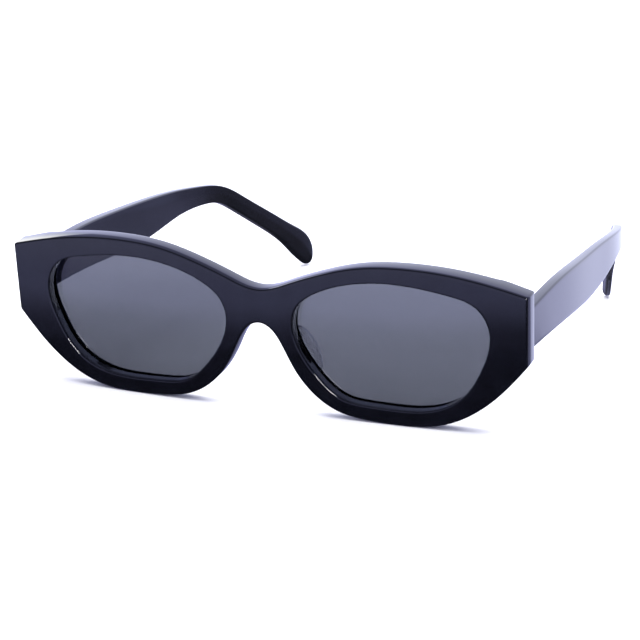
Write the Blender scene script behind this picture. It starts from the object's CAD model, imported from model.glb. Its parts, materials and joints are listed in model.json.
"""Looks of the cat eye sunglasses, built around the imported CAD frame.

The front and the temples are drawn in millimetres in the front's own frame, where x runs to the
wearer's left, y backwards from the front face at the bridge and z up in the plane of the front.
place() then tilts them by the pantoscopic angle and stands them where the CAD stands.
"""

import json
import math

import bmesh
import bpy
import numpy as np
from mathutils import Euler, Matrix, Vector


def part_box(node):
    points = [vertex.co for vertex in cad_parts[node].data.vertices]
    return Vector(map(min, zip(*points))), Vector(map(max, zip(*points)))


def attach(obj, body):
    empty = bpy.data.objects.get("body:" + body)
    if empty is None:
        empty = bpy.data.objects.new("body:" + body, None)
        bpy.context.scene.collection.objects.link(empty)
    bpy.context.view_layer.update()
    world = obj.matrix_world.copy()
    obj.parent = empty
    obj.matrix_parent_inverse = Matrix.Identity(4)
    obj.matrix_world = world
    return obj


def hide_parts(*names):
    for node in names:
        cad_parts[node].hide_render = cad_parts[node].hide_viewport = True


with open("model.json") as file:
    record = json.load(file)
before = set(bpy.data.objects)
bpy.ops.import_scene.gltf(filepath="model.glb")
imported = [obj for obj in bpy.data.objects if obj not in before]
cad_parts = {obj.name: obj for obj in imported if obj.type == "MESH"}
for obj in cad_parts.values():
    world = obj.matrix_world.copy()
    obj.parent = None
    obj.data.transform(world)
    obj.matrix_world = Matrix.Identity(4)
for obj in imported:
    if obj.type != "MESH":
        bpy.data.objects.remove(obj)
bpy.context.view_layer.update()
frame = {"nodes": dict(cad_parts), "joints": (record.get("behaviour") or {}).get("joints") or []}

SIDES = {"left": 1, "right": -1}

# ---- driving sizes, in millimetres of the front's frame ----

PANTOSCOPIC_TILT = math.radians(7.6)
# A point (y, z) on the hinges' axes, at the joints that the CAD made.
HINGE_PIVOT = (10.75, 14.3)
FRONT_RADIUS = 711.0
RIM_THICKNESS = 5.2
BACK_RADIUS = 531.0
ENDPIECE_BACK = 9.4
ENDPIECE_INNER = 63.2
RIM_OUTER = 61.5
ENDPIECE_BLEND = 0.4
OUTER_ROUND = 0.55
OPENING_ROUND = 0.35
BACK_ROUND = 0.7
TOP_CORNER = 0.7
BOTTOM_CORNER = 1.3
LENS_RADIUS = 265.0
LENS_THICKNESS = 1.8
LENS_INSET = 1.9
LENS_CENTRE = (35.0, 9.3)
LENS_OVERLAP = 0.8
LENS_BEVEL = 0.15
GROOVE_CLEARANCE = 0.05
# Middle of an opening, from which its points are spread over the front.
OPENING_HEART = (35.0, 12.6)
# Middle of the left pad, half its width, depth and height, and how far its rim sinks into the front's back.
PAD_CENTRE = (10.3, 6.0, 3.2)
PAD_HALF_SIZE = (2.3, 4.6, 7.4)
PAD_SINK = 0.3
PAD_LEAN = math.radians(27.0)
PAD_SPLAY = math.radians(14.0)
TEMPLE_THICKNESS = 3.0
TEMPLE_START = 9.5
# Radius of the temple's edges, at its tip too, and the depths between which it grows.
TEMPLE_EDGE = 0.5
TEMPLE_TIP_EDGE = 1.1
TEMPLE_TIP_SPAN = (128, 143)
# The inner face's ridge, as a share of the way from the top edge to the bottom edge, which moves between
# two depths, and the fall of the facets beside it, which fade where the temple is low.
RIDGE_SHARES = (0.06, 0.48)
RIDGE_SPAN = (40, 120)
RIDGE_SOFTNESS = 0.003
FACET_DEPTH = 0.55
FACET_SPAN = (30, 90)
FACET_FULL_HEIGHT = 9

# Left half of the brow, as (x, z), from the endpiece's top corner to the middle of the bridge.
BROW = [(70.9, 24.9), (61.0, 27.5), (50.0, 29.45), (38.0, 30.1), (27.0, 29.2), (17.0, 26.5),
        (8.0, 23.1), (3.2, 21.3), (0.0, 20.85)]
# Left half of the underside, from the middle of the bridge to the endpiece's bottom corner.
UNDERSIDE = [(0.0, 11.7), (2.4, 10.9), (5.2, 7.6), (8.85, 0.4), (13.95, -6.2), (20.8, -10.55),
             (30.0, -12.15), (39.0, -12.5), (48.0, -11.45), (56.15, -7.75), (63.2, -2.0), (70.6, 6.5)]
# The left lens opening, anticlockwise from its outer end.
OPENING = [(60.9, 11.0), (60.5, 17.0), (57.3, 21.5), (51.0, 23.85), (42.3, 25.3), (33.1, 25.7),
           (24.4, 24.5), (15.9, 21.4), (10.4, 16.7), (9.2, 11.0), (11.7, 3.8), (16.3, -2.5),
           (21.7, -6.8), (30.0, -8.15), (39.0, -8.4), (47.5, -7.05), (54.2, -2.8), (59.0, 5.2)]
# Side view of a temple (y, z), along its top edge, round the tip and back along its bottom edge.
TEMPLE_SIDE = [(9.5, 19.7), (34.0, 18.9), (55.0, 16.1), (76.0, 12.75), (92.0, 9.65), (104.0, 6.9),
               (112.0, 4.4), (120.0, -1.4), (130.0, -9.4), (139.5, -16.7), (144.6, -21.0), (146.8, -25.0),
               (146.8, -28.6), (144.8, -31.3), (142.3, -29.8), (134.2, -20.4), (124.9, -11.9),
               (116.5, -4.8), (110.0, -0.35), (104.0, 1.05), (92.0, 1.95), (78.0, 1.65), (60.0, 2.65),
               (45.0, 4.8), (25.0, 7.4), (9.5, 8.85)]
# Plan of a temple's outer face (y, x).
TEMPLE_PLAN = [(8.5, 69.8), (45.0, 69.8), (75.0, 68.3), (95.0, 66.8), (107.0, 64.4), (120.0, 59.2),
               (132.0, 54.5), (145.0, 49.5), (152.0, 47.0)]
# Share of the full thickness that is left at each depth (y, share).
TEMPLE_TAPER = [(95.0, 1.0), (107.0, 0.98), (120.0, 0.93), (132.0, 0.88), (145.0, 0.83), (152.0, 0.80)]

# ---- how finely the pieces are drawn ----

SAMPLES_PER_KNOT = 160
BROW_STEPS = 200
UNDERSIDE_STEPS = 240
ENDPIECE_STEPS = 25
TOP_CORNER_POINTS = 9
BOTTOM_CORNER_POINTS = 13
# Points down the middle of the bridge, and their distance in millimetres from the outline.
MIDDLE_POINTS = 11
MIDDLE_MARGIN = 1.2
OPENING_POINTS = 1440
FRONT_FACE_STEPS = 22
EDGE_POINTS = 5
LENS_POINTS = 240
LENS_RINGS = 24
PAD_RINGS = 25
PAD_POINTS = 72
TEMPLE_SIDE_POINTS = 2400
TEMPLE_PLAN_POINTS = 600
# Stations along a temple, which come closer towards its tip, and columns across its face.
STATIONS = 260
TIP_CROWDING = 1.6
TEMPLE_FACE_STEPS = 16


# ---- curves ----

def spline(points, count, closed=False):
    """Points spread evenly along the smooth cubic curve through the given ones."""
    knots = np.array(points + [points[0]] if closed else points, float)
    steps = np.hypot(*np.diff(knots, axis=0).T)
    times = np.concatenate([[0], np.cumsum(steps)])
    slopes = spline_slopes(knots, steps, closed)
    wanted = np.linspace(0, times[-1], SAMPLES_PER_KNOT * len(knots))
    dense = hermite(times, knots, slopes, wanted)
    length = np.concatenate([[0], np.cumsum(np.hypot(*np.diff(dense, axis=0).T))])
    even = np.linspace(0, length[-1], count + 1 if closed else count)
    out = np.stack([np.interp(even, length, dense[:, axis]) for axis in (0, 1)], 1)
    return out[:-1] if closed else out


def spline_slopes(knots, steps, closed):
    """Slopes at the knots that make the cubic curve's curvature continuous."""
    n = len(knots)
    rates = np.diff(knots, axis=0) / steps[:, None]
    matrix = np.zeros((n, n))
    right = np.zeros((n, 2))
    for i in range(1, n - 1):
        matrix[i, i - 1:i + 2] = steps[i], 2 * (steps[i - 1] + steps[i]), steps[i - 1]
        right[i] = 3 * (steps[i] * rates[i - 1] + steps[i - 1] * rates[i])
    if closed:
        matrix[0, 0], matrix[0, -1] = 1, -1
        matrix[-1, 1], matrix[-1, -2] = steps[-1], steps[0]
        matrix[-1, 0] = 2 * (steps[-1] + steps[0])
        right[-1] = 3 * (steps[0] * rates[-1] + steps[-1] * rates[0])
    else:
        matrix[0, :2] = 2, 1
        right[0] = 3 * rates[0]
        matrix[-1, -2:] = 1, 2
        right[-1] = 3 * rates[-1]
    return np.linalg.solve(matrix, right)


def hermite(times, knots, slopes, wanted):
    """The cubic curve's points at the wanted times."""
    i = np.clip(np.searchsorted(times, wanted, side="right") - 1, 0, len(times) - 2)
    step = (times[i + 1] - times[i])[:, None]
    s = (wanted - times[i])[:, None] / step
    return ((1 + 2 * s) * (1 - s) ** 2 * knots[i] + s * (1 - s) ** 2 * step * slopes[i]
            + s ** 2 * (3 - 2 * s) * knots[i + 1] - s ** 2 * (1 - s) * step * slopes[i + 1])


def corner_arc(before, corner, after, radius, count):
    """Points of the arc that rounds a corner."""
    before, corner, after = (np.array(p, float) for p in (before, corner, after))
    into = (corner - before) / np.linalg.norm(corner - before)
    out = (after - corner) / np.linalg.norm(after - corner)
    turn = math.acos(float(np.clip(into @ out, -1, 1)))
    trim = radius * math.tan(turn / 2)
    first, last = corner - into * trim, corner + out * trim
    inwards = (out - into) / np.linalg.norm(out - into)
    centre = (first + last) / 2 + inwards * radius * math.cos(turn / 2)
    angles = np.linspace(-turn / 2, turn / 2, count)
    axis = (corner - centre) / np.linalg.norm(corner - centre)
    sign = 1 if into[0] * out[1] - into[1] * out[0] > 0 else -1
    cos, sin = np.cos(angles), np.sin(angles) * sign
    return centre + radius * np.stack([axis[0] * cos - axis[1] * sin, axis[0] * sin + axis[1] * cos], 1)


def outward_normals(points, closed):
    """Unit normals to the right of the direction of travel."""
    if closed:
        tangent = np.roll(points, -1, axis=0) - np.roll(points, 1, axis=0)
    else:
        tangent = np.gradient(points, axis=0)
    tangent /= np.hypot(*tangent.T)[:, None]
    return np.stack([tangent[:, 1], -tangent[:, 0]], 1)


# ---- surfaces of the front ----

def front_y(x):
    """Front face of the front, which wraps round a large circle."""
    return FRONT_RADIUS - np.sqrt(FRONT_RADIUS ** 2 - np.asarray(x) ** 2)


def smooth_step(value, low, high):
    """0 below the low value, 1 above the high one and smooth in between."""
    t = np.clip((np.asarray(value) - low) / (high - low), 0, 1)
    return t * t * (3 - 2 * t)


def rim_back_y(x):
    """Back of the rim, which thickens slightly towards the endpieces."""
    return RIM_THICKNESS + BACK_RADIUS - np.sqrt(BACK_RADIUS ** 2 - np.asarray(x) ** 2)


def back_y(x):
    """Back surface of the front: the rim's, and flat behind the endpieces."""
    blend = smooth_step(np.abs(x), RIM_OUTER - ENDPIECE_BLEND, ENDPIECE_INNER + ENDPIECE_BLEND)
    return rim_back_y(x) * (1 - blend) + ENDPIECE_BACK * blend


# ---- placing what is drawn in the front's frame ----

def place(points):
    """Millimetres in the front's frame to metres in the scene's frame."""
    cos, sin = math.cos(PANTOSCOPIC_TILT), math.sin(PANTOSCOPIC_TILT)
    x, y, z = np.asarray(points, float).T
    back, up = STAND
    return np.stack([x, y * cos - z * sin + back, y * sin + z * cos + up], 1) / 1000


def stand():
    """Where the front's own origin is, in millimetres, from the joints that the CAD made."""
    cos, sin = math.cos(PANTOSCOPIC_TILT), math.sin(PANTOSCOPIC_TILT)
    hinge = next(j for j in frame["joints"] if j["child"] == "temple_left")["pos_m"]
    y, z = HINGE_PIVOT
    return hinge[1] * 1000 - (y * cos - z * sin), hinge[2] * 1000 - (y * sin + z * cos)


STAND = stand()


def make_object(name, points, faces):
    """A mesh object with smooth shading, from points in the front's frame."""
    mesh = bpy.data.meshes.new(name)
    mesh.from_pydata(place(points).tolist(), [], [list(map(int, f)) for f in faces])
    mesh.validate()
    mesh.update()
    obj = bpy.data.objects.new(name, mesh)
    bpy.context.scene.collection.objects.link(obj)
    for polygon in mesh.polygons:
        polygon.use_smooth = True
    return obj


class Grid:
    """Collects rows of points and joins neighbouring rows with quads."""

    def __init__(self):
        self.points = []
        self.faces = []

    def row(self, points):
        """Add a row of points and give back their indices."""
        start = len(self.points)
        self.points.extend(np.asarray(points, float).tolist())
        return np.arange(start, start + len(points))

    def join(self, a, b, closed=True):
        """Join two rows of the same length."""
        count = len(a)
        for i in range(count if closed else count - 1):
            j = (i + 1) % count
            self.faces.append((a[i], a[j], b[j], b[i]))

    def fan(self, ring, centre):
        """Join a closed row to one point."""
        for i in range(len(ring)):
            self.faces.append((ring[i], ring[(i + 1) % len(ring)], centre))


# ---- front ----

# Least distance from a corner's arc to the next point of the curve.
CORNER_GAP = 0.05


def half_outline():
    """The left half of the outer outline, from the middle of the brow round to the middle of the arch."""
    brow = spline(mirrored(BROW[::-1]), 2 * BROW_STEPS + 1)[BROW_STEPS:]
    underside = spline(mirrored(UNDERSIDE), 2 * UNDERSIDE_STEPS + 1)[UNDERSIDE_STEPS:][::-1]
    top = corner_arc(brow[-3], brow[-1], underside[0], TOP_CORNER, TOP_CORNER_POINTS)
    bottom = corner_arc(brow[-1], underside[0], underside[3], BOTTOM_CORNER, BOTTOM_CORNER_POINTS)
    side = np.linspace(top[-1], bottom[0], ENDPIECE_STEPS + 1)[1:-1]

    def beyond(curve, corner, arc_end):
        """The part of a curve that the corner's arc leaves."""
        return curve[np.hypot(*(curve - corner).T) > np.hypot(*(arc_end - corner)) + CORNER_GAP]

    return np.concatenate([beyond(brow, brow[-1], top[0]), top, side, bottom,
                           beyond(underside, underside[0], bottom[-1])])


def mirrored(half):
    """A whole outline from its left half, whose first point is in the middle, at x = 0."""
    return [(-x, z) for x, z in half[:0:-1]] + list(half)


def quarter_round(radius):
    """(inset, rise) pairs round an edge, from the face to the wall."""
    angles = np.linspace(0, math.pi / 2, EDGE_POINTS)
    return [(radius * (1 - math.sin(a)), radius * (1 - math.cos(a))) for a in angles]


def build_front():
    """One closed acetate shell with two lens openings, drawn as its left half and mirrored."""
    outline = half_outline()
    normals = -outward_normals(outline, False)
    normals[0], normals[-1] = (0, 1), (0, -1)
    middle = np.linspace(outline[-1][1] + MIDDLE_MARGIN, outline[0][1] - MIDDLE_MARGIN, MIDDLE_POINTS)
    centre_line = np.stack([np.zeros_like(middle), middle], 1)

    dense = spline(OPENING, OPENING_POINTS, closed=True)
    dense_normals = outward_normals(dense, True)
    heart = np.array(OPENING_HEART)
    angle = np.unwrap(np.arctan2(*(dense - heart).T[::-1]))
    order = np.argsort(angle)

    def opening_at(points):
        """Opening points and normals on the rays from its middle to the given points."""
        wanted = np.arctan2(*(points - heart).T[::-1])
        low = angle.min()
        wanted = (wanted - low) % (2 * math.pi) + low
        values = np.concatenate([dense, dense_normals], 1)[order]
        found = np.stack([np.interp(wanted, angle[order], column, period=2 * math.pi)
                          for column in values.T], 1)
        normal = found[:, 2:] / np.hypot(*found[:, 2:].T)[:, None]
        return found[:, :2], normal

    inset_front = outline - normals * OUTER_ROUND
    inset_back = outline - normals * BACK_ROUND
    ring_front = np.concatenate([inset_front, centre_line])
    hole, hole_normals = opening_at(ring_front)
    grid = Grid()

    def on_front(flat, drop=0.0):
        """Points on the front face, or behind it by the drop."""
        return np.stack([flat[:, 0], front_y(flat[:, 0]) + drop, flat[:, 1]], 1)

    def on_back(flat, rise=0.0):
        """Points on the back face, or in front of it by the rise."""
        return np.stack([flat[:, 0], back_y(flat[:, 0]) - rise, flat[:, 1]], 1)

    # Opening wall, from the front face round into the lens groove and out to the back face.
    edge = quarter_round(OPENING_ROUND)
    groove_front = lens_y(hole) - GROOVE_CLEARANCE
    groove_back = lens_y(hole) + LENS_THICKNESS + GROOVE_CLEARANCE
    groove_depth = LENS_OVERLAP + GROOVE_CLEARANCE
    rows = [grid.row(on_front(hole + hole_normals * inset, rise)) for inset, rise in edge]
    for depth, grow in ((groove_front, 0.0), (groove_front, groove_depth),
                        (groove_back, groove_depth), (groove_back, 0.0)):
        flat = hole + hole_normals * grow
        rows.append(grid.row(np.stack([flat[:, 0], depth, flat[:, 1]], 1)))
    rows += [grid.row(on_back(hole + hole_normals * inset, rise)) for inset, rise in edge[::-1]]
    for a, b in zip(rows, rows[1:]):
        grid.join(a, b)

    def face_rows(start, ends, surface, crowding=0.35):
        """Rows across a face, from the opening out to the outline, a little closer near both."""
        made = []
        for k in range(1, FRONT_FACE_STEPS):
            share = k / FRONT_FACE_STEPS
            share = share * share * (3 - 2 * share) * crowding + share * (1 - crowding)
            made.append(grid.row(surface(start * (1 - share) + ends * share)))
        return made

    hole_front = hole + hole_normals * OPENING_ROUND
    ring_back = np.concatenate([inset_back, centre_line])
    front_rows = [rows[0]] + face_rows(hole_front, ring_front, on_front)
    back_rows = [rows[-1]] + face_rows(hole_front, ring_back, on_back)

    # Outer wall, open at the middle, where the mirrored half carries on.
    wall = [grid.row(on_front(outline - normals * inset, rise))
            for inset, rise in quarter_round(OUTER_ROUND)]
    wall += [grid.row(on_back(outline - normals * inset, rise))
             for inset, rise in quarter_round(BACK_ROUND)[::-1]]
    for a, b in zip(wall, wall[1:]):
        grid.join(b, a, closed=False)
    front_rows.append(np.concatenate([wall[0], grid.row(on_front(centre_line))]))
    back_rows.append(np.concatenate([wall[-1], grid.row(on_back(centre_line))]))
    for a, b in zip(front_rows, front_rows[1:]):
        grid.join(b, a)
    for a, b in zip(back_rows, back_rows[1:]):
        grid.join(a, b)

    points = np.array(grid.points)
    faces = grid.faces
    offset = len(points)
    both = np.concatenate([points, points * [-1, 1, 1]])
    both_faces = faces + [tuple(v + offset for v in face[::-1]) for face in faces]
    obj = make_object("acetate_front", both, both_faces)
    merge_close(obj, 2e-6)
    return obj


def merge_close(obj, distance):
    """Join the vertices that lie closer than a distance in metres, and face every polygon outwards."""
    mesh = bmesh.new()
    mesh.from_mesh(obj.data)
    bmesh.ops.remove_doubles(mesh, verts=mesh.verts, dist=distance)
    bmesh.ops.recalc_face_normals(mesh, faces=mesh.faces)
    mesh.to_mesh(obj.data)
    mesh.free()
    obj.data.update()


# ---- lenses ----

def lens_y(flat, back=False):
    """How far back the left lens's front or back surface is at each (x, z)."""
    x0, z0 = LENS_CENTRE
    radius = LENS_RADIUS - (LENS_THICKNESS if back else 0)
    centre_x = x0 * (1 - LENS_RADIUS / FRONT_RADIUS)
    centre_y = x0 * x0 / (2 * FRONT_RADIUS) + LENS_INSET + LENS_RADIUS
    reach = radius ** 2 - (flat[:, 0] - centre_x) ** 2 - (flat[:, 1] - z0) ** 2
    return centre_y - np.sqrt(reach)


def build_lens(name, side):
    """A curved lens with a small bevel round both edges."""
    outline = spline(OPENING, LENS_POINTS, closed=True)
    normals = outward_normals(outline, True)
    heart = np.array(LENS_CENTRE)
    edge = outline + normals * LENS_OVERLAP
    inner = edge - normals * LENS_BEVEL
    grid = Grid()

    def surface(flat, back, shift=0.0):
        """Points on one face of the lens on this side."""
        return np.stack([flat[:, 0] * side, lens_y(flat, back) + shift, flat[:, 1]], 1)

    rings = []
    for back in (False, True):
        shares = np.linspace(0, 1, LENS_RINGS + 1)[1:]
        made = [grid.row(surface(heart + (inner - heart) * share, back)) for share in shares]
        centre = grid.row(surface(heart[None], back))[0]
        grid.fan(made[0], centre)
        for a, b in zip(made, made[1:]):
            grid.join(a, b)
        rings.append(made[-1])
    rim_front = grid.row(surface(edge, False, LENS_BEVEL))
    rim_back = grid.row(surface(edge, True, -LENS_BEVEL))
    for a, b in ((rings[0], rim_front), (rim_front, rim_back), (rim_back, rings[1])):
        grid.join(a, b)
    obj = make_object(f"tinted_lens_{name}", grid.points, grid.faces)
    merge_close(obj, 1e-8)
    return obj


# ---- nose pads ----

def build_nose_pad(name, side):
    """An almond-shaped pad that grows out of the back of the rim."""
    turn = np.array(Euler((0, -PAD_LEAN, 0)).to_matrix() @ Euler((0, 0, -PAD_SPLAY)).to_matrix())
    grid = Grid()
    rows = []
    around = np.linspace(0, 2 * math.pi, PAD_POINTS, endpoint=False)
    for height in np.linspace(-0.5, 1.0, PAD_RINGS) * math.pi / 2:
        local = PAD_HALF_SIZE * np.stack([math.cos(height) * np.cos(around),
                                          np.full_like(around, math.sin(height)),
                                          math.cos(height) * np.sin(around)], 1)
        points = PAD_CENTRE + local @ turn.T
        floor = rim_back_y(points[:, 0]) - PAD_SINK
        points[:, 1] = np.maximum(points[:, 1], floor)
        rows.append(points * [side, 1, 1])
    made = [grid.row(points) for points in rows[:-1]]
    for a, b in zip(made, made[1:]):
        grid.join(a, b)
    top = grid.row(rows[-1].mean(0)[None])[0]
    bottom = grid.row(rows[0].mean(0)[None])[0]
    grid.fan(made[-1], top)
    grid.fan(made[0][::-1], bottom)
    obj = make_object(f"nose_pad_shell_{name}", grid.points, grid.faces)
    merge_close(obj, 1e-8)
    return obj


# ---- temples ----

def temple_outer_x(y):
    """Where the outer face is at each depth."""
    plan = spline(TEMPLE_PLAN, TEMPLE_PLAN_POINTS)
    return np.interp(y, plan[:, 0], plan[:, 1])


def temple_thickness(y):
    """How thick the temple is at each depth."""
    depth, share = zip(*TEMPLE_TAPER)
    return TEMPLE_THICKNESS * np.interp(y, depth, share)


# The tip is the point of the side view that lies furthest along this heading.
TIP_HEADING = (1.0, -0.6)


def build_temple(name, side):
    """A temple with a flat outer face and an inner face in two facets along a soft ridge."""
    outline = spline(TEMPLE_SIDE, TEMPLE_SIDE_POINTS)
    tip = int(np.argmax(outline @ TIP_HEADING))
    spread = 1 - (1 - np.linspace(0, 1, STATIONS)) ** TIP_CROWDING
    top_index = spread * tip
    bottom_index = (len(outline) - 1) - spread * (len(outline) - 1 - tip)

    def pick(values, index):
        """Rows of the values at fractional indices."""
        steps = np.arange(len(values))
        return np.stack([np.interp(index, steps, values[:, k]) for k in range(values.shape[1])], 1)

    normals = -outward_normals(outline, False)
    top, bottom = pick(outline, top_index), pick(outline, bottom_index)
    top_normal, bottom_normal = pick(normals, top_index), pick(normals, bottom_index)
    for n in (top_normal, bottom_normal):
        n /= np.hypot(*n.T)[:, None]
    top_normal[0], bottom_normal[0] = (0, 1), (0, -1)
    first_ridge, last_ridge = RIDGE_SHARES
    ridge = first_ridge + (last_ridge - first_ridge) * smooth_step(top[:, 0], *RIDGE_SPAN)
    height = np.hypot(*(top - bottom).T)
    facet = FACET_DEPTH * smooth_step(top[:, 0], *FACET_SPAN) * smooth_step(height, 0, FACET_FULL_HEIGHT)
    near_tip = smooth_step(top[:, 0], *TEMPLE_TIP_SPAN)
    edge_round = TEMPLE_EDGE + (TEMPLE_TIP_EDGE - TEMPLE_EDGE) * near_tip

    def face_x(flat_y, share, outer):
        """Where a face is at each station, a share of the way from its top edge to its bottom edge."""
        x = temple_outer_x(flat_y)
        if outer:
            return x
        away = np.where(share < ridge, (ridge - share) / ridge, (share - ridge) / (1 - ridge))
        soft = np.sqrt(away ** 2 + RIDGE_SOFTNESS) - math.sqrt(RIDGE_SOFTNESS)
        return x - temple_thickness(flat_y) + facet * soft

    def face(outer):
        """Columns of points across one face, from its top edge to its bottom edge."""
        a, b = top - top_normal * edge_round[:, None], bottom - bottom_normal * edge_round[:, None]
        made = []
        for share in np.linspace(0, 1, TEMPLE_FACE_STEPS + 1):
            flat = a * (1 - share) + b * share
            made.append(np.stack([face_x(flat[:, 0], share, outer), flat[:, 0], flat[:, 1]], 1))
        return made

    def edge_rows(edge, normal, share, outer):
        """Rows round one long edge, from the face to the wall."""
        made = []
        for angle in np.linspace(0, math.pi / 2, EDGE_POINTS)[1:]:
            flat = edge - normal * edge_round[:, None] * (1 - math.sin(angle))
            x = face_x(flat[:, 0], share, outer)
            into = edge_round * (1 - math.cos(angle))
            made.append(np.stack([x - into if outer else x + into, flat[:, 0], flat[:, 1]], 1))
        return made

    loop = face(True)
    loop += edge_rows(bottom, bottom_normal, 1.0, True)
    loop += edge_rows(bottom, bottom_normal, 1.0, False)[::-1]
    loop += face(False)[::-1]
    loop += edge_rows(top, top_normal, 0.0, False)
    loop += edge_rows(top, top_normal, 0.0, True)[::-1]
    loop = [points * [side, 1, 1] for points in loop]
    for points in loop:
        points[0, 1] = TEMPLE_START
    grid = Grid()
    columns = [grid.row(points) for points in loop]
    for a, b in zip(columns, columns[1:] + columns[:1]):
        grid.join(a, b, closed=False)
    grid.faces.append(tuple(column[0] for column in columns))
    grid.faces.append(tuple(column[-1] for column in columns[::-1]))
    obj = make_object(f"acetate_temple_{name}", grid.points, grid.faces)
    merge_close(obj, 1e-6)
    return obj


# ---- materials ----

def new_material(name):
    """A new material with its node tree and its shader."""
    material = bpy.data.materials.new(name)
    material.use_nodes = True
    tree = material.node_tree
    return material, tree, tree.nodes["Principled BSDF"]


def add_noise(tree, scale, detail=2.0):
    """Noise in the object's own coordinates, in which a unit is a metre."""
    place_in = tree.nodes.new("ShaderNodeTexCoord")
    noise = tree.nodes.new("ShaderNodeTexNoise")
    noise.inputs["Scale"].default_value = scale
    noise.inputs["Detail"].default_value = detail
    tree.links.new(place_in.outputs["Object"], noise.inputs["Vector"])
    return noise


def spread_value(tree, source, low, high, socket):
    """Map a noise's 0.3 to 0.7 to a range of values on a socket."""
    mapped = tree.nodes.new("ShaderNodeMapRange")
    mapped.inputs["From Min"].default_value = 0.3
    mapped.inputs["From Max"].default_value = 0.7
    mapped.inputs["To Min"].default_value = low
    mapped.inputs["To Max"].default_value = high
    tree.links.new(source, mapped.inputs["Value"])
    tree.links.new(mapped.outputs["Result"], socket)


def spread_colour(tree, source, low, high, socket):
    """Map a noise's 0.32 to 0.68 to a range of colours on a socket."""
    ramp = tree.nodes.new("ShaderNodeValToRGB")
    ramp.color_ramp.elements[0].position = 0.32
    ramp.color_ramp.elements[1].position = 0.68
    ramp.color_ramp.elements[0].color = (*low, 1)
    ramp.color_ramp.elements[1].color = (*high, 1)
    tree.links.new(source, ramp.inputs["Fac"])
    tree.links.new(ramp.outputs["Color"], socket)


def add_bump(tree, shader, source, strength, distance):
    """A fine relief on the shader, of a height in metres."""
    bump = tree.nodes.new("ShaderNodeBump")
    bump.inputs["Strength"].default_value = strength
    bump.inputs["Distance"].default_value = distance
    tree.links.new(source, bump.inputs["Height"])
    tree.links.new(bump.outputs["Normal"], shader.inputs["Normal"])


ACETATE_IOR = 1.49
LENS_IOR = 1.5


def acetate_material():
    """Hand-polished black acetate: faintly cloudy below a wet gloss."""
    material, tree, shader = new_material("black_acetate")
    clouds = add_noise(tree, 160.0, 4.0)
    spread_colour(tree, clouds.outputs["Fac"], (0.0016, 0.0018, 0.0030), (0.0032, 0.0036, 0.0060),
                  shader.inputs["Base Color"])
    polish = add_noise(tree, 420.0, 3.0)
    spread_value(tree, polish.outputs["Fac"], 0.015, 0.04, shader.inputs["Roughness"])
    ripple = add_noise(tree, 90.0, 2.0)
    add_bump(tree, shader, ripple.outputs["Fac"], strength=0.03, distance=0.0002)
    shader.inputs["IOR"].default_value = ACETATE_IOR
    return material


def pad_material():
    """Clear acetate with a faint haze. Where its side is seen at a slant, the bent view turns dark."""
    material, tree, shader = new_material("clear_acetate")
    haze = add_noise(tree, 240.0, 3.0)
    spread_colour(tree, haze.outputs["Fac"], (0.86, 0.86, 0.88), (0.92, 0.92, 0.93),
                  shader.inputs["Base Color"])
    spread_value(tree, haze.outputs["Fac"], 0.01, 0.05, shader.inputs["Roughness"])
    shader.inputs["Transmission Weight"].default_value = 1.0
    shader.inputs["IOR"].default_value = ACETATE_IOR
    return material


def lens_material():
    """Smoke grey tint, a little lighter towards the brow."""
    material, tree, shader = new_material("smoke_tint")
    place_in = tree.nodes.new("ShaderNodeTexCoord")
    split = tree.nodes.new("ShaderNodeSeparateXYZ")
    tree.links.new(place_in.outputs["Object"], split.inputs["Vector"])
    low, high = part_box("lens_left")
    mapped = tree.nodes.new("ShaderNodeMapRange")
    mapped.inputs["From Min"].default_value = low.z
    mapped.inputs["From Max"].default_value = high.z
    tree.links.new(split.outputs["Z"], mapped.inputs["Value"])
    ramp = tree.nodes.new("ShaderNodeValToRGB")
    ramp.color_ramp.elements[0].color = (0.062, 0.067, 0.084, 1)
    ramp.color_ramp.elements[1].color = (0.083, 0.089, 0.116, 1)
    tree.links.new(mapped.outputs["Result"], ramp.inputs["Fac"])
    tree.links.new(ramp.outputs["Color"], shader.inputs["Base Color"])
    shader.inputs["Transmission Weight"].default_value = 1.0
    shader.inputs["IOR"].default_value = LENS_IOR
    haze = add_noise(tree, 300.0, 2.0)
    spread_value(tree, haze.outputs["Fac"], 0.0, 0.012, shader.inputs["Roughness"])
    return material


def metal_material(name, low, high, rough, brush):
    """Brushed metal with fine lines along one direction."""
    material, tree, shader = new_material(name)
    place_in = tree.nodes.new("ShaderNodeTexCoord")
    stretch = tree.nodes.new("ShaderNodeMapping")
    stretch.inputs["Scale"].default_value = brush
    noise = tree.nodes.new("ShaderNodeTexNoise")
    noise.inputs["Scale"].default_value = 1.0
    noise.inputs["Detail"].default_value = 3.0
    tree.links.new(place_in.outputs["Object"], stretch.inputs["Vector"])
    tree.links.new(stretch.outputs["Vector"], noise.inputs["Vector"])
    spread_colour(tree, noise.outputs["Fac"], low, high, shader.inputs["Base Color"])
    spread_value(tree, noise.outputs["Fac"], rough - 0.05, rough + 0.07, shader.inputs["Roughness"])
    add_bump(tree, shader, noise.outputs["Fac"], strength=0.15, distance=0.00003)
    shader.inputs["Metallic"].default_value = 1.0
    return material


acetate = acetate_material()
tint = lens_material()
clear = pad_material()
leaf_metal = metal_material("satin_nickel_silver", (0.60, 0.58, 0.54), (0.72, 0.70, 0.66), 0.24,
                            (900, 900, 9000))
screw_metal = metal_material("turned_steel", (0.58, 0.59, 0.60), (0.72, 0.73, 0.74), 0.2,
                             (9000, 9000, 900))
wire_metal = metal_material("drawn_nickel_silver", (0.52, 0.50, 0.46), (0.66, 0.64, 0.60), 0.3,
                            (6000, 600, 6000))


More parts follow.
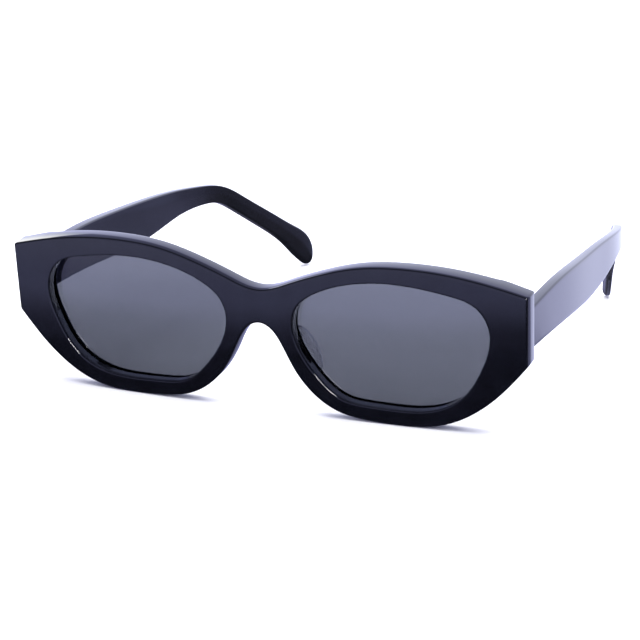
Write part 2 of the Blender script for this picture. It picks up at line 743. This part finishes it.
def finish_piece(obj, body, slot, material, *stands_for):
    """Give a piece its material, its body and the CAD nodes it stands for. The clear pads have no slot."""
    obj.data.materials.append(material)
    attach(obj, body)
    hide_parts(*stands_for)


finish_piece(build_front(), "front", "acetate", acetate, "front_frame")
for name, side in SIDES.items():
    finish_piece(build_lens(name, side), "front", "lens_tint", tint, f"lens_{name}")
    finish_piece(build_nose_pad(name, side), "front", None, clear, f"nose_pad_{name}")
    finish_piece(build_temple(name, side), f"temple_{name}", "acetate", acetate, f"temple_{name}")

KEPT_METAL = {"front_hinge": leaf_metal, "temple_hinge": leaf_metal, "front_hinge_pins": leaf_metal,
              "temple_hinge_pins": leaf_metal, "hinge_screw": screw_metal, "core_wire": wire_metal}
for stem, metal in KEPT_METAL.items():
    for name in SIDES:
        node = frame["nodes"][f"{stem}_{name}"]
        node.data.materials.clear()
        node.data.materials.append(metal)


# ---- stage ----

# Gap in metres that keeps the floor clear of the rims' lowest points.
FLOOR_GAP = 0.0001
# Radiance of the studio by how far a direction points along an axis, which runs backwards and a little up.
WORLD_AXIS = (0.0, 1.0, 0.2)
WORLD_STRENGTH = 2.5
WORLD_STOPS = [(-1.0, (0.70, 0.72, 1.25)), (-0.75, (0.70, 0.72, 1.25)), (-0.35, (0.10, 0.10, 0.14)),
               (0.0, (0.07, 0.07, 0.09)), (0.30, (0.22, 0.22, 0.32)), (0.78, (0.34, 0.35, 0.60)),
               (0.846, (0.44, 0.46, 0.80)), (0.864, (1.40, 1.45, 2.15)), (0.95, (1.75, 1.83, 2.40))]
WHITE = (1.0, 1.0, 1.0)
LIGHT_TARGET = Vector((0.016, -0.0725, 0.026))
CAMERA_AT = Vector((0.27012, -0.69531, 0.20982))
CAMERA_TARGET = Vector((0.0163, -0.0725, 0.0261))
CAMERA_LENS = 155.44
CAMERA_ROLL = math.radians(0.4)


def aim(obj, place_at, aim_at):
    """Put an object somewhere and point it at something."""
    obj.location = place_at
    obj.rotation_euler = (Vector(aim_at) - Vector(place_at)).to_track_quat("-Z", "Y").to_euler()


def area_light(name, place_at, aim_at, width, height, radiance):
    """A rectangular softbox of a given brightness. It lights the floor, and no gloss shows it."""
    light = bpy.data.lights.new(name, "AREA")
    light.shape = "RECTANGLE"
    light.size, light.size_y = width, height
    light.energy = radiance * math.pi * width * height
    obj = bpy.data.objects.new(name, light)
    obj.visible_glossy = False
    aim(obj, place_at, aim_at)
    bpy.context.scene.collection.objects.link(obj)


def ramp_between(tree, value, stops):
    """A colour ramp over a value from 0 to 1. Each stop is (position, colour)."""
    ramp = tree.nodes.new("ShaderNodeValToRGB")
    ramp.color_ramp.interpolation = "EASE"
    while len(ramp.color_ramp.elements) < len(stops):
        ramp.color_ramp.elements.new(0.5)
    for element, (position, colour) in zip(ramp.color_ramp.elements, stops):
        element.position = position
        element.color = (*colour, 1)
    tree.links.new(value, ramp.inputs["Fac"])
    return ramp.outputs["Color"]


def gloss_card(name, corners, stops, strength, lag=0.0):
    """A glowing card that only shows as a reflection. Its stops run from the edge between the first two
    corners to the opposite edge, and start later by the lag towards the second corner."""
    mesh = bpy.data.meshes.new(name)
    mesh.from_pydata(corners, [], [(0, 1, 2, 3)])
    layer = mesh.uv_layers.new(name="across")
    for loop, uv in zip(layer.data, ((0, 0), (-lag, 1), (1, 1), (1, 0))):
        loop.uv = uv
    card = bpy.data.objects.new(name, mesh)
    bpy.context.scene.collection.objects.link(card)
    material = bpy.data.materials.new(name)
    material.use_nodes = True
    tree = material.node_tree
    tree.nodes.clear()
    output = tree.nodes.new("ShaderNodeOutputMaterial")
    glow = tree.nodes.new("ShaderNodeEmission")
    across = tree.nodes.new("ShaderNodeUVMap")
    split = tree.nodes.new("ShaderNodeSeparateXYZ")
    tree.links.new(across.outputs["UV"], split.inputs["Vector"])
    tree.links.new(ramp_between(tree, split.outputs["X"], stops), glow.inputs["Color"])
    glow.inputs["Strength"].default_value = strength
    tree.links.new(glow.outputs["Emission"], output.inputs["Surface"])
    mesh.materials.append(material)
    card.visible_camera = False
    card.visible_diffuse = False
    card.visible_transmission = False
    card.visible_volume_scatter = False
    card.visible_shadow = False


def make_floor():
    """A pale matt floor, which no gloss shows."""
    half = 6.0
    mesh = bpy.data.meshes.new("studio_floor")
    mesh.from_pydata([(-half, -half, 0), (half, -half, 0), (half, half, 0), (-half, half, 0)],
                     [], [(0, 1, 2, 3)])
    floor = bpy.data.objects.new("studio_floor", mesh)
    bpy.context.scene.collection.objects.link(floor)
    material, tree, shader = new_material("pale_floor")
    grain = add_noise(tree, 30.0)
    spread_colour(tree, grain.outputs["Fac"], (0.88, 0.88, 0.88), (0.91, 0.91, 0.91),
                  shader.inputs["Base Color"])
    shader.inputs["Roughness"].default_value = 0.9
    shader.inputs["Specular IOR Level"].default_value = 0.0
    mesh.materials.append(material)
    floor.location.z = -FLOOR_GAP
    floor.visible_glossy = False


def make_world():
    """A studio that is dim overhead, lavender in front and bright straight behind."""
    world = bpy.data.worlds.new("studio")
    bpy.context.scene.world = world
    world.use_nodes = True
    tree = world.node_tree
    background = tree.nodes["Background"]
    direction = tree.nodes.new("ShaderNodeTexCoord")
    along = tree.nodes.new("ShaderNodeVectorMath")
    along.operation = "DOT_PRODUCT"
    along.inputs[1].default_value = WORLD_AXIS
    tree.links.new(direction.outputs["Generated"], along.inputs[0])
    backwards = tree.nodes.new("ShaderNodeMapRange")
    backwards.inputs["From Min"].default_value = -1.0
    tree.links.new(along.outputs["Value"], backwards.inputs["Value"])
    stops = [((share + 1) / 2, [value / WORLD_STRENGTH for value in radiance])
             for share, radiance in WORLD_STOPS]
    tree.links.new(ramp_between(tree, backwards.outputs["Result"], stops), background.inputs["Color"])
    background.inputs["Strength"].default_value = WORLD_STRENGTH


bpy.context.scene.view_settings.view_transform = "Standard"
make_floor()
make_world()
area_light("overhead", (0.0, -0.1, 1.5), LIGHT_TARGET, width=2.0, height=2.0, radiance=4.8)
area_light("front_fill", (0.4, -1.3, 0.9), LIGHT_TARGET, width=1.0, height=0.8, radiance=3.0)
gloss_card("table_in_front",
           [(-0.4, -0.030, -0.001), (0.3, -0.068, -0.001), (0.3, -0.30, -0.001), (-0.4, -0.30, -0.001)],
           [(0.0, (0.03, 0.03, 0.05)), (0.05, (0.09, 0.09, 0.16)), (0.22, (0.44, 0.46, 0.82)),
            (0.45, (0.60, 0.62, 1.0)), (1.0, (0.60, 0.62, 1.0))], strength=1.5, lag=0.55)
gloss_card("glint",
           [(0.79, -0.59, 0.45), (0.79, -0.45, 0.45), (0.47, -0.43, 0.79), (0.47, -0.57, 0.79)],
           [(0.0, WHITE), (1.0, WHITE)], strength=110.0)
gloss_card("wall_behind_left",
           [(-0.98, 0.75, 0.06), (-0.98, 0.75, 0.45), (-0.58, 0.75, 0.45), (-0.58, 0.75, 0.06)],
           [(0.0, WHITE), (0.55, WHITE), (1.0, (0.35, 0.37, 0.50))], strength=4.0)

camera_data = bpy.data.cameras.new("camera")
camera_data.lens = CAMERA_LENS
camera_data.sensor_width = 36.0
camera = bpy.data.objects.new("camera", camera_data)
facing = (CAMERA_TARGET - CAMERA_AT).to_track_quat("-Z", "Y").to_matrix()
roll = Matrix.Rotation(CAMERA_ROLL, 3, "Z")
camera.matrix_world = Matrix.Translation(CAMERA_AT) @ (facing @ roll).to_4x4()
bpy.context.scene.collection.objects.link(camera)
bpy.context.scene.camera = camera
